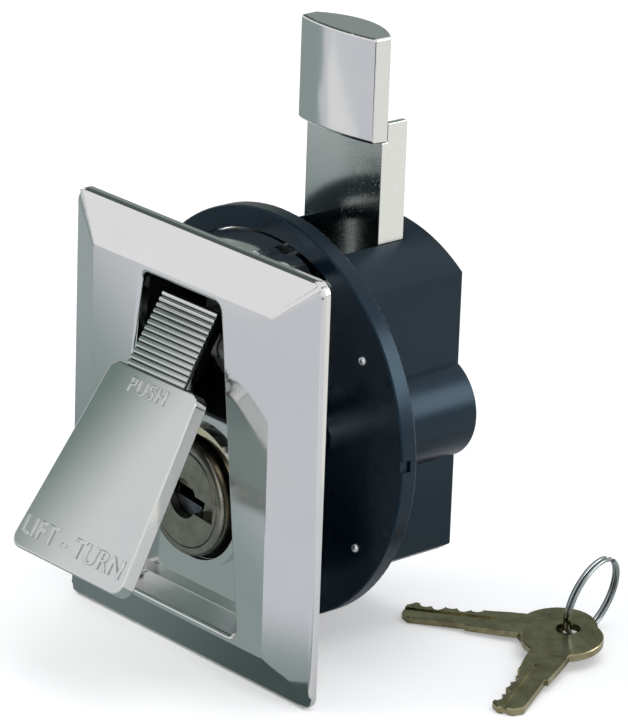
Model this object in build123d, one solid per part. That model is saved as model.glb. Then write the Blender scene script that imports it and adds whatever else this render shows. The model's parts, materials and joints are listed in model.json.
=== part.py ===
"""Flush lift-and-turn latch with key lock, for a door about 16 mm thick.

Millimetres. The origin is the centre of the front plate in the plane of its back face,
which is the plane of the door's front. +X is to the right as the user faces the door,
+Y goes into the door and +Z is up. The lever is modelled half lifted, the bolt thrown.
"""
from build123d import *
from math import atan2, cos, degrees, radians, sin, sqrt
import os

# Front plate: a raised casting with bevelled sides
plate_width = 76.2
plate_height = 88.9
rim_thickness = 1.7
rim_corner_radius = 3.0
face_rise = 4.0
bevel_width_side = 10.4
bevel_width_end = 9.0
face_corner_radius = 0.8
crease_radius = 0.5
casting_wall = 2.0
plate_land = 4.5
hollow_inset = 0.8

# Finger pocket in the face
pocket_end_margin = 1.45
pocket_side_margin = 8.0
pocket_half_top = 12.1
pocket_corner_radius = 2.0
pocket_depth = 6.2
pocket_floor_thickness = 2.5
pocket_lip = 2.4
pocket_edge_radius = 0.8
ledge_width = 2.6
ledge_height = 1.8

# Handle spindle and the deep cup that it stands in
spindle_z = 21.5
cup_half_width = 14.0
cup_top_z = 37.3
cup_bottom_z = 7.2
cup_corner_radius = 6.0
cup_depth = 20.2
cup_floor_thickness = 3.0
pivot_depth = 9.0
pin_radius = 1.5
pin_clearance = 0.05
pin_head_radius = 2.0
pin_head_length = 1.0
ear_gap_half = 5.6
ear_thickness = 2.2
ear_radius = 3.4
yoke_radius = 12.0
yoke_thickness = 2.8
spindle_radius = 4.5
spindle_clearance = 0.05
spindle_square = 6.0
bush_wall = 2.0
bush_flange_width = 2.0
bush_flange_thickness = 1.5
bush_seat_gap = 0.02
washer_thickness = 0.8
clip_thickness = 1.0
clip_width = 2.6
clip_groove_depth = 0.55
end_play = 0.05

# Lever: paddle and ribbed tail in one casting
lift_angle = 32.4
lever_offset = 9.85
paddle_half_top = 13.3
paddle_side_gap = 2.2
paddle_start = 12.0
paddle_end = 54.0
paddle_depth = 3.6
paddle_skin = 1.6
paddle_wall = 1.4
paddle_corner_radius = 2.6
paddle_edge_radius = 0.5
tail_half_top = 8.45
tail_half_bottom = 8.85
tail_reach = 4.45
tail_thickness = 2.2
rib_count = 13
rib_height = 0.5
rib_fullness = 0.98
lug_inner_half = 3.2
lug_thickness = 2.0
lug_radius = 3.0
lug_web_setback = 1.8
lug_web_half = 2.4
lug_web_top_inset = 0.6
lug_web_end = 10.0

# Door gap and rear housing
door_gap = 16.4
housing_axis_z = 3.2
flange_radius = 42.3
flange_thickness = 3.9
flange_edge_radius = 0.4
mouth_radius = 37.8
mouth_half_width = 19.5
housing_radius = 36.5
housing_half_width = 21.8
housing_depth = 29.4
housing_wall = 2.5
housing_edge_radius = 0.6
boss_radius = 11.0
cover_thickness = 2.5
cover_ledge = 1.2
fit_clearance = 0.2
pip_radius = 0.9
pip_x = 29.8
pip_rise = 19.7
gate_mark_z = 4.3
gate_mark_width = 2.4
gate_mark_depth = 0.6
gate_mark_height = 2.2
spigot_clearance = 0.3
spigot_wall = 2.2
spigot_reach = 3.1
spigot_left_x = -17.5
spigot_right_x = 5.5
spigot_lower_half = 12.0

# Long screws that clamp plate and housing on the door
clamp_screw_x = 16.9
clamp_screw_radius = 2.4
clamp_tube_wall = 1.9
clamp_head_radius = 4.4
clamp_head_height = 3.0
clamp_thread_reach = 10.9
post_wall = 1.2
post_gap = 0.5
thread_clearance = 0.05
cover_screw_x = 17.0
cover_screw_inset = 5.85
cover_screw_rise = sqrt((housing_radius - cover_screw_inset) ** 2 - cover_screw_x**2)
cover_screw_radius = 1.25
cover_screw_length = 9.0
cover_boss_length = 11.0
cover_boss_wall = 1.35
cover_head_radius = 2.6
cover_head_height = 1.8

# Heads of all the cross-slotted screws, as shares of the head's radius and height
screw_slot_reach = 0.6
screw_slot_half_width = 0.12
screw_slot_depth = 0.5
screw_edge_rounding = 0.33

# Sliding bolt
bolt_half_width = 11.3
bar_thickness = 1.5
bar_depth = 6.6
web_front_y = 35.8
bar_bottom_z = -4.0
head_bottom_z = 59.1
head_height = 21.7
head_half_width = 11.35
head_side_front_y = 33.2
head_side_rear_y = 37.1
head_front_bulge = 1.4
head_rear_bulge = 4.4
head_edge_radius = 0.6
ear_rise = 3.75
ear_step = 1.5
tongue_half_width = 8.0
tongue_rise = 12.5
head_fit = 0.1
bolt_screw_radius = 1.45
bolt_screw_x = 4.5
bolt_screw_rise = 6.5
bolt_screw_head_radius = 2.6
bolt_screw_head_height = 1.2
slide_clearance = 0.3
crank_slot_roundness = 0.95
slot_front_y = 26.0
guide_thickness = 1.5
guide_front_y = 31.0
foot_depth = 9.6
foot_thickness = 1.5

# Drive from the spindle to the bolt
arm_front_y = 27.0
arm_thickness = 3.0
crank_radius = 7.8
crank_start_angle = 45.0
crank_pin_radius = 1.6
crank_pin_end_y = 38.6
crank_eye_wall = 1.6
crank_slot_clearance = 0.35
hub_radius = 7.0
finger_inner_x = 3.5
finger_width = 3.6
finger_reach = 18.5
square_fit = 0.1
arm_washer_radius = 5.0
arm_washer_thickness = 0.6
arm_screw_radius = 1.9
arm_screw_head_radius = 3.6
arm_screw_head_height = 2.4
arm_screw_length = 9.0

# Bolt return springs
spring_x = 6.5
spring_y = 41.2
spring_coil_radius = 2.5
spring_wire_radius = 0.4
spring_turns = 7
spring_seat_height = 1.8
spring_seat_z = housing_axis_z - housing_radius + housing_wall + spring_seat_height
spring_peg_radius = 1.6
spring_peg_height = 3.0
spring_gap = 0.05

# Key lock
lock_z = -10.8
collar_inner_radius = 13.4
collar_outer_radius = 15.0
collar_drop = 4.8
lock_flange_radius = 12.15
lock_flange_drop = 2.1
lock_flange_edge = 1.0
lock_recess_radius = 10.35
lock_recess_depth = 3.2
barrel_radius = 9.5
barrel_flat_half = 8.7
barrel_length = 26.5
barrel_clearance = 0.1
barrel_root = 0.5
plug_face_radius = 10.2
plug_face_drop = 1.95
plug_face_thickness = 3.2
plug_edge_radius = 0.25
plug_radius = 6.0
plug_clearance = 0.05
plug_square = 6.0
slot_turn = -6.0
slot_reach = 9.4
slot_height = 3.8
slot_depth = 2.3
slot_corner_radius = 0.4
slot_well_radius = 4.2
slot_well_depth = 2.5
keyway_half_width = 4.1
keyway_height = 2.5
keyway_depth = 22.0
shutter_thickness = 0.5
shutter_drop = 0.9
nut_across_flats = 22.0
nut_thickness = 3.0
cam_gap = 0.4
cam_thickness = 2.0
cam_reach = 16.4
cam_hub_radius = 6.0
cam_half_width = 3.0
cam_screw_radius = 1.4
cam_screw_head_radius = 3.9
cam_screw_head_height = 2.0
cam_screw_length = 7.0

# Keys and their ring, lying on the surface that the plate's lower edge stands on
drawn_key_length = 41.0
key_length = 41.0
key_scale = key_length / drawn_key_length
key_thickness = 1.6 * key_scale
blade_half_width = 3.6 * key_scale
blade_step_x = 14.0 * key_scale
blade_step = 0.6 * key_scale
blade_relief = 0.1 * key_scale
tip_chamfer = 1.6 * key_scale
bow_radius = 8.4 * key_scale
neck_x = 22.0 * key_scale
neck_half_width = 4.1 * key_scale
key_hole_radius = 2.6 * key_scale
key_hole_inset = 5.0 * key_scale
key_groove_width = 1.1 * key_scale
key_groove_depth = 0.4 * key_scale
key_groove_length = 20.5 * key_scale
key_groove_y = 0.5 * key_scale
key_edge = 0.15 * key_scale
cut_depths = (1.3, 2.0, 0.9, 1.6, 1.1)
cut_start = 2.6 * key_scale
cut_pitch = 2.7 * key_scale
key_set_place = (13.3, 45.3)
lower_key_heading = 32.0
lower_key_slope = 0.04
lower_key_roll = 6.0
upper_key_place = (48.7 * key_scale, -16.3 * key_scale)
upper_key_heading = 117.0
upper_key_slope = 0.0894
ring_radius = 8.69 * key_scale
ring_wire_radius = 0.42 * key_scale
ring_wire_gap = 0.02 * key_scale
ring_centre = (31.037 * key_scale, 23.266 * key_scale, 9.3 * key_scale)
ring_normal = (0.9494, 0.2372, -0.2059)

# Depths that follow from the sizes above
rim_front_y = -rim_thickness
face_y = rim_front_y - face_rise
pocket_floor_y = face_y + pocket_depth
pocket_back_y = pocket_floor_y + pocket_floor_thickness
lip_back_y = face_y + pocket_lip
cup_floor_y = face_y + cup_depth
cup_back_y = cup_floor_y + cup_floor_thickness
pivot_y = face_y + pivot_depth
flange_front_y = door_gap
flange_rear_y = flange_front_y + flange_thickness
housing_rear_y = flange_rear_y + housing_depth
cover_front_y = housing_rear_y - cover_thickness
face_half_width = plate_width / 2 - bevel_width_side
face_half_height = plate_height / 2 - bevel_width_end
pocket_top_z = face_half_height - pocket_end_margin
pocket_bottom_z = -pocket_top_z
pocket_half_bottom = face_half_width - pocket_side_margin
paddle_half_bottom = pocket_half_bottom - paddle_side_gap
web_rear_y = web_front_y + bar_thickness
bar_rear_y = web_front_y + bar_depth
clamp_hole_radius = clamp_screw_radius + spigot_clearance
clamp_tube_radius = clamp_hole_radius + clamp_tube_wall
post_radius = clamp_screw_radius + thread_clearance + post_wall
post_end_y = flange_front_y - post_gap
arm_rear_y = arm_front_y + arm_thickness
arm_washer_rear_y = arm_rear_y + arm_washer_thickness
bush_outer_radius = spindle_radius + spindle_clearance + bush_wall
plug_front_y = face_y + plug_face_drop
lock_flange_front_y = face_y + lock_flange_drop
barrel_rear_y = pocket_floor_y + barrel_length
cam_front_y = barrel_rear_y + cam_gap
cam_rear_y = cam_front_y + cam_thickness
stand_z = -plate_height / 2


def box(x_span, y_span, z_span):
    """Block between two X, two Y and two Z values."""
    spans = (x_span, y_span, z_span)
    centre = [(low + high) / 2 for low, high in spans]
    size = [high - low for low, high in spans]
    return Pos(*centre) * Box(*size)


def prism(outline, y_span):
    """Extrude an outline drawn in X and Z between two depths."""
    near, far = y_span
    return extrude(Plane.XZ.offset(-far) * outline, far - near)


def bar(radius, y_span, x=0.0, z=0.0):
    """Round bar along Y."""
    near, far = y_span
    return Pos(x, (near + far) / 2, z) * Rot(90, 0, 0) * Cylinder(radius, far - near)


def cross_bar(radius, x_span, y, z):
    """Round bar along X."""
    low, high = x_span
    return Pos((low + high) / 2, y, z) * Rot(0, 90, 0) * Cylinder(radius, high - low)


def trapezoid(half_top, half_bottom, z_top, z_bottom, corner_radius):
    """Symmetric four-sided outline in X and Z with rounded corners."""
    corners = [(-half_top, z_top), (half_top, z_top), (half_bottom, z_bottom), (-half_bottom, z_bottom)]
    outline = make_face(Polyline(*corners, close=True))
    return fillet(outline.vertices(), corner_radius)


def rounded_box_outline(half_width, z_span, corner_radius):
    """Rounded rectangle in X and Z, centred on X = 0."""
    low, high = z_span
    return Pos(0, (low + high) / 2) * RectangleRounded(2 * half_width, high - low, corner_radius)


def cut_circle(radius, half_width):
    """Circle about the housing's axis with its two sides cut off straight."""
    sides = Pos(0, housing_axis_z) * Rectangle(2 * half_width, 4 * radius)
    return (Pos(0, housing_axis_z) * Circle(radius)) & sides


def write(node, *solids):
    """Save the solids of one node."""
    shape = solids[0] if len(solids) == 1 else Compound(children=list(solids))
    export_step(shape, os.path.join("parts", node + ".step"))


def mirrored(positions):
    """Each X, Z place and its mirror image across X = 0."""
    return [(side * x, z) for x, z in positions for side in (-1, 1)]


def plate_envelope():
    """Outer form of the plate: a flat rim with the bevelled face on it."""
    rim = prism(RectangleRounded(plate_width, plate_height, rim_corner_radius), (rim_front_y, 0))
    base = Plane.XZ.offset(-rim_front_y) * RectangleRounded(plate_width, plate_height, rim_corner_radius)
    crown = Plane.XZ.offset(-face_y) * RectangleRounded(
        2 * face_half_width, 2 * face_half_height, face_corner_radius
    )
    frustum = loft([base, crown])
    crease = frustum.faces().sort_by(Axis.Y)[0].edges()
    return rim + fillet(crease, crease_radius)


def plate_hollow():
    """Space behind the bevel, open at the plate's back."""
    back = Plane.XZ * RectangleRounded(
        plate_width - 2 * plate_land, plate_height - 2 * plate_land, rim_corner_radius
    )
    front = Plane.XZ.offset(-(face_y + casting_wall)) * RectangleRounded(
        2 * (face_half_width - hollow_inset), 2 * (face_half_height - hollow_inset), face_corner_radius
    )
    return loft([back, front])


def spigot_ribs():
    """Arc ribs on the plate's back that centre the housing's mouth."""
    outer = mouth_radius - spigot_clearance
    ring = Pos(0, housing_axis_z) * (Circle(outer) - Circle(outer - spigot_wall))
    upper_window = Pos((spigot_left_x + spigot_right_x) / 2, housing_axis_z + outer / 2) * Rectangle(
        spigot_right_x - spigot_left_x, outer + spigot_wall
    )
    lower_window = Pos(0, housing_axis_z - outer) * Rectangle(2 * spigot_lower_half, outer)
    reach = flange_front_y + spigot_reach
    upper = prism(ring & upper_window, (rim_front_y, reach))
    lower = prism(ring & lower_window, (pocket_floor_y + 1, reach))
    return upper + lower


def front_plate():
    envelope = plate_envelope()
    behind = box(
        (-plate_width / 2, plate_width / 2), (rim_front_y, housing_rear_y), (-plate_height / 2, plate_height / 2)
    )
    tub = prism(
        trapezoid(
            pocket_half_top + casting_wall,
            pocket_half_bottom + casting_wall,
            pocket_top_z + casting_wall,
            pocket_bottom_z - casting_wall,
            pocket_corner_radius + casting_wall,
        ),
        (face_y, pocket_back_y),
    )
    cup = prism(
        rounded_box_outline(
            cup_half_width + casting_wall,
            (cup_bottom_z - casting_wall, cup_top_z + casting_wall),
            cup_corner_radius + casting_wall,
        ),
        (face_y, cup_back_y),
    )
    posts = [bar(post_radius, (face_y, post_end_y), x, z) for x, z in mirrored([(clamp_screw_x, housing_axis_z)])]
    inner = (tub + cup + spigot_ribs() + posts) & (envelope + behind)
    casting = envelope - plate_hollow() + inner
    pocket = prism(
        trapezoid(pocket_half_top, pocket_half_bottom, pocket_top_z, pocket_bottom_z, pocket_corner_radius),
        (face_y - 1, pocket_floor_y),
    )
    cavity = prism(
        rounded_box_outline(cup_half_width, (cup_bottom_z, cup_top_z), cup_corner_radius),
        (lip_back_y, cup_floor_y),
    )
    ledge = box(
        (-pocket_half_bottom, pocket_half_bottom),
        (pocket_floor_y - ledge_height, pocket_floor_y + 1),
        (pocket_bottom_z - 1, pocket_bottom_z + ledge_width),
    )
    collar = prism(
        Pos(0, lock_z) * (Circle(collar_outer_radius) - Circle(collar_inner_radius)),
        (face_y + collar_drop, pocket_floor_y + 1),
    )
    clear_of_cavity = box((-plate_width, plate_width), (face_y, pocket_back_y), (stand_z, cup_bottom_z))
    holes = bar(barrel_radius + barrel_clearance, (face_y, pocket_back_y + 1), z=lock_z)
    holes += bar(bush_outer_radius + bush_seat_gap, (cup_floor_y - 1, cup_back_y + 1), z=spindle_z)
    for x, z in mirrored([(clamp_screw_x, housing_axis_z)]):
        depth = (post_end_y - clamp_thread_reach - 1, post_end_y + 1)
        holes += bar(clamp_screw_radius + thread_clearance, depth, x, z)
    plate = casting - (pocket - ledge) - cavity + (collar & clear_of_cavity) - holes
    return fillet(pocket_mouth(plate), pocket_edge_radius)


def pocket_mouth(plate):
    """Edges of the pocket in the plate's face."""
    return [
        edge
        for edge in plate.edges()
        if abs(edge.center().Y - face_y) < head_fit
        and abs(edge.center().X) < pocket_half_bottom + pocket_end_margin / 2
        and abs(edge.center().Z) < pocket_top_z + pocket_end_margin / 2
    ]


def housing_body():
    flange = bar(flange_radius, (flange_front_y, flange_rear_y), z=housing_axis_z)
    flange = fillet(flange.edges(), flange_edge_radius)
    shell = prism(cut_circle(housing_radius, housing_half_width), (flange_rear_y - 1, housing_rear_y))
    for x, z in mirrored([(clamp_screw_x, housing_axis_z)]):
        shell += bar(boss_radius, (flange_rear_y - 1, housing_rear_y), x, z)
    rear_edges = shell.faces().sort_by(Axis.Y)[-1].edges()
    gate_mark = box(
        (flange_radius - gate_mark_depth, flange_radius + 1),
        (flange_front_y - 1, flange_front_y + gate_mark_height),
        (gate_mark_z - gate_mark_width / 2, gate_mark_z + gate_mark_width / 2),
    )
    return flange - gate_mark + fillet(rear_edges, housing_edge_radius)


def rear_housing():
    inner_radius = housing_radius - housing_wall
    inner_half = housing_half_width - housing_wall
    mouth = prism(cut_circle(mouth_radius, mouth_half_width), (flange_front_y - 1, flange_rear_y))
    room = prism(cut_circle(inner_radius, inner_half), (flange_rear_y - 1, cover_front_y + 1))
    rebate = prism(
        cut_circle(inner_radius + cover_ledge, inner_half + cover_ledge), (cover_front_y, housing_rear_y + 1)
    )
    housing = housing_body() - mouth - room - rebate
    inside = prism(cut_circle(inner_radius + 1, inner_half + 1), (flange_front_y, cover_front_y))
    fittings = box(
        (-bolt_half_width - guide_thickness, bolt_half_width + guide_thickness),
        (spring_y - spring_coil_radius - 2, cover_front_y),
        (housing_axis_z - housing_radius, spring_seat_z),
    )
    for side in (-1, 1):
        near_side = side * (bolt_half_width + slide_clearance)
        far_side = side * (bolt_half_width + slide_clearance + guide_thickness)
        fittings += box(
            (min(near_side, far_side), max(near_side, far_side)),
            (guide_front_y, cover_front_y),
            (housing_axis_z - housing_radius, housing_axis_z + housing_radius),
        )
        fittings += bar(clamp_tube_radius, (flange_front_y, cover_front_y), side * clamp_screw_x, housing_axis_z)
        for rise in (-cover_screw_rise, cover_screw_rise):
            fittings += bar(
                cover_screw_radius + cover_boss_wall,
                (cover_front_y - cover_boss_length, cover_front_y),
                side * cover_screw_x,
                housing_axis_z + rise,
            )
    housing += fittings & inside
    for side in (-1, 1):
        peg = Cylinder(spring_peg_radius, spring_peg_height + 1)
        housing += Pos(side * spring_x, spring_y, spring_seat_z + (spring_peg_height - 1) / 2) * peg
        through = (flange_front_y - 1, housing_rear_y + 1)
        housing -= bar(clamp_hole_radius, through, side * clamp_screw_x, housing_axis_z)
        for rise in (-cover_screw_rise, cover_screw_rise):
            housing -= bar(
                cover_screw_radius + thread_clearance,
                (cover_front_y - cover_screw_length, cover_front_y + 1),
                side * cover_screw_x,
                housing_axis_z + rise,
            )
        for rise in (-pip_rise, pip_rise):
            housing += Pos(side * pip_x, flange_front_y, housing_axis_z + rise) * Sphere(pip_radius)
    slot = box(
        (-bolt_half_width - slide_clearance, bolt_half_width + slide_clearance),
        (slot_front_y, bar_rear_y + slide_clearance),
        (housing_axis_z + inner_radius / 2, housing_axis_z + housing_radius + 1),
    )
    return housing - slot


def rear_cover():
    inner_radius = housing_radius - housing_wall + cover_ledge - fit_clearance
    inner_half = housing_half_width - housing_wall + cover_ledge - fit_clearance
    cover = prism(cut_circle(inner_radius, inner_half), (cover_front_y, housing_rear_y))
    through = (cover_front_y - 1, housing_rear_y + 1)
    for x, z in mirrored([(clamp_screw_x, housing_axis_z)]):
        cover -= bar(clamp_hole_radius, through, x, z)
    for x, z in cover_screw_places():
        cover -= bar(cover_screw_radius + fit_clearance, through, x, z)
    return cover


def cover_screw_places():
    return mirrored([(cover_screw_x, housing_axis_z + rise) for rise in (-cover_screw_rise, cover_screw_rise)])


def pan_head_screw(radius, length, head_radius, head_height, x, z, seat_y):
    """Cross-slotted screw driven from behind, its head's underside at seat_y."""
    head = bar(head_radius, (seat_y, seat_y + head_height), x, z)
    rim = head.faces().sort_by(Axis.Y)[-1].edges()
    head = fillet(rim, head_height * screw_edge_rounding)
    recess_front = seat_y + head_height * (1 - screw_slot_depth)
    shank = bar(radius, (seat_y - length, recess_front), x, z)
    slot_half = head_radius * screw_slot_reach
    slot_thickness = head_radius * screw_slot_half_width
    recess = (recess_front, seat_y + head_height + 1)
    cross = box((x - slot_half, x + slot_half), recess, (z - slot_thickness, z + slot_thickness))
    cross += box((x - slot_thickness, x + slot_thickness), recess, (z - slot_half, z + slot_half))
    return head + shank - cross


def clamp_screws():
    length = housing_rear_y - post_end_y + clamp_thread_reach
    places = mirrored([(clamp_screw_x, housing_axis_z)])
    return [
        pan_head_screw(clamp_screw_radius, length, clamp_head_radius, clamp_head_height, x, z, housing_rear_y)
        for x, z in places
    ]


def cover_screws():
    length = cover_screw_length + cover_thickness - 1
    return [
        pan_head_screw(cover_screw_radius, length, cover_head_radius, cover_head_height, x, z, housing_rear_y)
        for x, z in cover_screw_places()
    ]


def spindle_bush():
    inner = spindle_radius + spindle_clearance
    flange = (cup_back_y, cup_back_y + bush_flange_thickness)
    bush = bar(bush_outer_radius, (cup_floor_y, flange[1]), z=spindle_z)
    bush += bar(bush_outer_radius + bush_flange_width, flange, z=spindle_z)
    return bush - bar(inner, (cup_floor_y - 1, flange[1] + 1), z=spindle_z)


def thrust_washer():
    depth = (cup_floor_y - washer_thickness, cup_floor_y - end_play)
    ring = Circle(bush_outer_radius + bush_flange_width) - Circle(spindle_radius + spindle_clearance)
    return prism(Pos(0, spindle_z) * ring, depth)


def yoke_rear_y():
    return cup_floor_y - washer_thickness - end_play


def clip_depth():
    front = cup_back_y + bush_flange_thickness + end_play
    return (front, front + clip_thickness)


def spindle():
    """Yoke, shaft and the square that carries the drive arm."""
    rear = yoke_rear_y()
    base = bar(yoke_radius, (rear - yoke_thickness, rear), z=spindle_z)
    yoke = base
    for side in (-1, 1):
        inner_x, outer_x = side * ear_gap_half, side * (ear_gap_half + ear_thickness)
        span = (min(inner_x, outer_x), max(inner_x, outer_x))
        yoke += cross_bar(ear_radius, span, pivot_y, spindle_z)
        yoke += box(span, (pivot_y, rear - yoke_thickness / 2), (spindle_z - ear_radius, spindle_z + ear_radius))
    reach = ear_gap_half + ear_thickness + 1
    yoke -= cross_bar(pin_radius + pin_clearance / 2, (-reach, reach), pivot_y, spindle_z)
    shaft = bar(spindle_radius, (rear - yoke_thickness / 2, arm_front_y), z=spindle_z)
    half = spindle_square / 2
    shaft += box((-half, half), (arm_front_y - 1, arm_rear_y - square_fit), (spindle_z - half, spindle_z + half))
    groove_front, groove_rear = clip_depth()
    groove = bar(spindle_radius + 1, (groove_front - head_fit, groove_rear + head_fit), z=spindle_z)
    groove -= bar(spindle_radius - clip_groove_depth, (groove_front - 1, groove_rear + 1), z=spindle_z)
    shaft -= groove
    shaft -= bar(arm_screw_radius + thread_clearance, (arm_rear_y - arm_screw_length, arm_rear_y + 1), z=spindle_z)
    return yoke + shaft


def spindle_clip():
    inner = spindle_radius - clip_groove_depth + spindle_clearance
    outline = Circle(inner + clip_width) - Circle(inner)
    mouth = Pos(0, -inner - clip_width / 2) * Rectangle(inner, 2 * clip_width)
    return prism(Pos(0, spindle_z) * (outline - mouth), clip_depth())


def drive_arm():
    """Hub with the crank lobe and the finger that the lock's cam stops."""
    angle = radians(crank_start_angle)
    crank_x, crank_z = crank_radius * cos(angle), crank_radius * sin(angle)
    lobe = crank_pin_radius + crank_eye_wall
    outline = Circle(hub_radius) + Pos(crank_x, crank_z) * Circle(lobe)
    finger_x = finger_inner_x + finger_width / 2
    outline += Pos(finger_x, -finger_reach / 2) * Rectangle(finger_width, finger_reach)
    outline -= Rectangle(spindle_square + square_fit, spindle_square + square_fit)
    outline -= Pos(crank_x, crank_z) * Circle(crank_pin_radius + thread_clearance)
    return prism(Pos(0, spindle_z) * outline, (arm_front_y, arm_rear_y))


def crank_pin():
    angle = radians(crank_start_angle)
    x, z = crank_radius * cos(angle), spindle_z + crank_radius * sin(angle)
    return bar(crank_pin_radius, (arm_front_y, crank_pin_end_y), x, z)


def arm_washer():
    ring = Circle(arm_washer_radius) - Circle(arm_screw_radius + fit_clearance)
    return prism(Pos(0, spindle_z) * ring, (arm_rear_y, arm_washer_rear_y))


def arm_screw():
    length = arm_screw_length - 1
    return pan_head_screw(
        arm_screw_radius, length, arm_screw_head_radius, arm_screw_head_height, 0, spindle_z, arm_washer_rear_y
    )


def pivot_pin():
    """Pin through yoke and lever, with a head at one end and a peened collar at the other."""
    half = ear_gap_half + ear_thickness
    pin = cross_bar(pin_radius, (-half - pin_head_length, half + pin_head_length), pivot_y, spindle_z)
    for side in (-1, 1):
        span = sorted((side * (half + end_play), side * (half + pin_head_length)))
        pin += cross_bar(pin_head_radius, span, pivot_y, spindle_z)
    return pin


def lug_washers():
    """Friction washers between the lever's lugs and the yoke's ears."""
    inner = lug_inner_half + lug_thickness + end_play
    outer = ear_gap_half - end_play
    washers = []
    for side in (-1, 1):
        span = sorted((side * inner, side * outer))
        washer = cross_bar(lug_radius, span, pivot_y, spindle_z)
        washers.append(washer - cross_bar(pin_radius + pin_clearance, span, pivot_y, spindle_z))
    return washers


def lever():
    """Paddle, ribbed tail and pivot lugs, drawn flush and then lifted."""
    front = -lever_offset
    outline = trapezoid(
        paddle_half_top, paddle_half_bottom, -paddle_start, -paddle_end, paddle_corner_radius
    )
    paddle = prism(outline, (front, front + paddle_depth))
    front_edges = paddle.faces().sort_by(Axis.Y)[0].edges()
    paddle = fillet(front_edges, paddle_edge_radius)
    inner = trapezoid(
        paddle_half_top - paddle_wall,
        paddle_half_bottom - paddle_wall,
        -paddle_start - paddle_wall,
        -paddle_end + paddle_wall,
        paddle_corner_radius - paddle_wall,
    )
    paddle -= prism(inner, (front + paddle_skin, front + paddle_depth + 1))
    tail_outline = make_face(
        Polyline(
            (-tail_half_top, tail_reach),
            (tail_half_top, tail_reach),
            (tail_half_bottom, -paddle_start - 1),
            (-tail_half_bottom, -paddle_start - 1),
            close=True,
        )
    )
    tail = prism(tail_outline, (front + rib_height / 2, front + tail_thickness + rib_height / 2))
    pitch = (tail_reach + paddle_start) / rib_count
    ribs = []
    for index in range(rib_count):
        z = tail_reach - (index + 0.5) * pitch
        share = (tail_reach - z) / (tail_reach + paddle_start)
        half = tail_half_top + share * (tail_half_bottom - tail_half_top)
        ribs.append(cross_bar(pitch / 2 * rib_fullness, (-half, half), front + rib_height / 2, z))
    lugs = []
    for side in (-1, 1):
        span = sorted((side * lug_inner_half, side * (lug_inner_half + lug_thickness)))
        profile = make_face(
            Polyline(
                (front + tail_thickness, tail_reach - lug_web_top_inset),
                (-lug_web_setback, lug_web_half),
                (0, 0),
                (-lug_web_setback, -lug_web_half),
                (front + tail_thickness, -lug_web_end),
                close=True,
            )
        )
        web = extrude(Plane.YZ.offset(span[0]) * profile, span[1] - span[0])
        lugs.append(web + cross_bar(lug_radius, span, 0, 0))
    reach = lug_inner_half + lug_thickness + 1
    solid = paddle + tail + ribs + lugs
    solid -= cross_bar(pin_radius + pin_clearance, (-reach, reach), 0, 0)
    return Pos(0, pivot_y, spindle_z) * Rot(-lift_angle, 0, 0) * solid


def bolt_bar():
    """Channel-shaped steel bar with a bent foot for the springs."""
    half = bolt_half_width
    spread = (-half, half)
    bar_top = head_bottom_z - head_fit
    web = box(spread, (web_front_y, web_rear_y), (bar_bottom_z, bar_top))
    tongue_top = head_bottom_z + tongue_rise - head_fit
    tongue = box((-tongue_half_width, tongue_half_width), (web_front_y, web_rear_y), (bar_bottom_z, tongue_top))
    channel = web + tongue
    for side in (-1, 1):
        span = sorted((side * (half - bar_thickness), side * half))
        channel += box(span, (web_front_y, bar_rear_y), (bar_bottom_z, bar_top))
        channel += box(span, (web_front_y + ear_step, bar_rear_y), (bar_bottom_z, head_bottom_z + ear_rise))
    foot_top = bar_bottom_z + foot_thickness
    inner_half = half - bar_thickness
    channel += box((-inner_half, inner_half), (web_front_y, web_front_y + foot_depth), (bar_bottom_z, foot_top))
    angle = radians(crank_start_angle)
    slot_half_height = crank_pin_radius + crank_slot_clearance
    slot_low_x = crank_radius * cos(angle) - crank_pin_radius - slide_clearance
    slot_high_x = crank_radius + crank_pin_radius + slide_clearance
    slot_z = spindle_z + crank_radius * sin(angle)
    slot_outline = Pos((slot_low_x + slot_high_x) / 2, slot_z) * RectangleRounded(
        slot_high_x - slot_low_x, 2 * slot_half_height, slot_half_height * crank_slot_roundness
    )
    channel -= prism(slot_outline, (web_front_y - 1, web_rear_y + 1))
    for x, z in bolt_screw_places():
        channel -= bar(bolt_screw_radius + head_fit, (web_front_y - 1, web_rear_y + 1), x, z)
    return channel


def bolt_screw_places():
    return mirrored([(bolt_screw_x, head_bottom_z + bolt_screw_rise)])


def head_outline():
    """Lens-shaped section of the bolt head, in X and Y."""
    front_left = (-head_half_width, head_side_front_y)
    front_right = (head_half_width, head_side_front_y)
    rear_left = (-head_half_width, head_side_rear_y)
    rear_right = (head_half_width, head_side_rear_y)
    front = ThreePointArc(front_left, (0, head_side_front_y - head_front_bulge), front_right)
    rear = ThreePointArc(rear_right, (0, head_side_rear_y + head_rear_bulge), rear_left)
    return make_face([front, Line(front_right, rear_right), rear, Line(rear_left, front_left)])


def bolt_head():
    head = Pos(0, 0, head_bottom_z) * extrude(head_outline(), head_height)
    top_edges = head.faces().sort_by(Axis.Z)[-1].edges()
    upright = head.edges().filter_by(Axis.Z)
    head = fillet(top_edges + upright, head_edge_radius)
    socket_half = tongue_half_width + head_fit
    head -= box(
        (-socket_half, socket_half),
        (web_front_y - head_fit, web_rear_y + head_fit),
        (head_bottom_z - 1, head_bottom_z + tongue_rise),
    )
    ear_front = web_front_y + ear_step - head_fit
    for side in (-1, 1):
        span = sorted((side * (bolt_half_width - bar_thickness - head_fit), side * (head_half_width + 1)))
        head -= box(
            span, (ear_front, bar_rear_y + 1), (head_bottom_z - 1, head_bottom_z + ear_rise + head_fit)
        )
    for x, z in bolt_screw_places():
        seat = bolt_screw_seat_y(x)
        head -= bar(bolt_screw_radius + head_fit, (head_side_front_y + 1, bar_rear_y), x, z)
        head -= bar(bolt_screw_head_radius + head_fit, (seat, bar_rear_y + 1), x, z)
    return head


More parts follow.
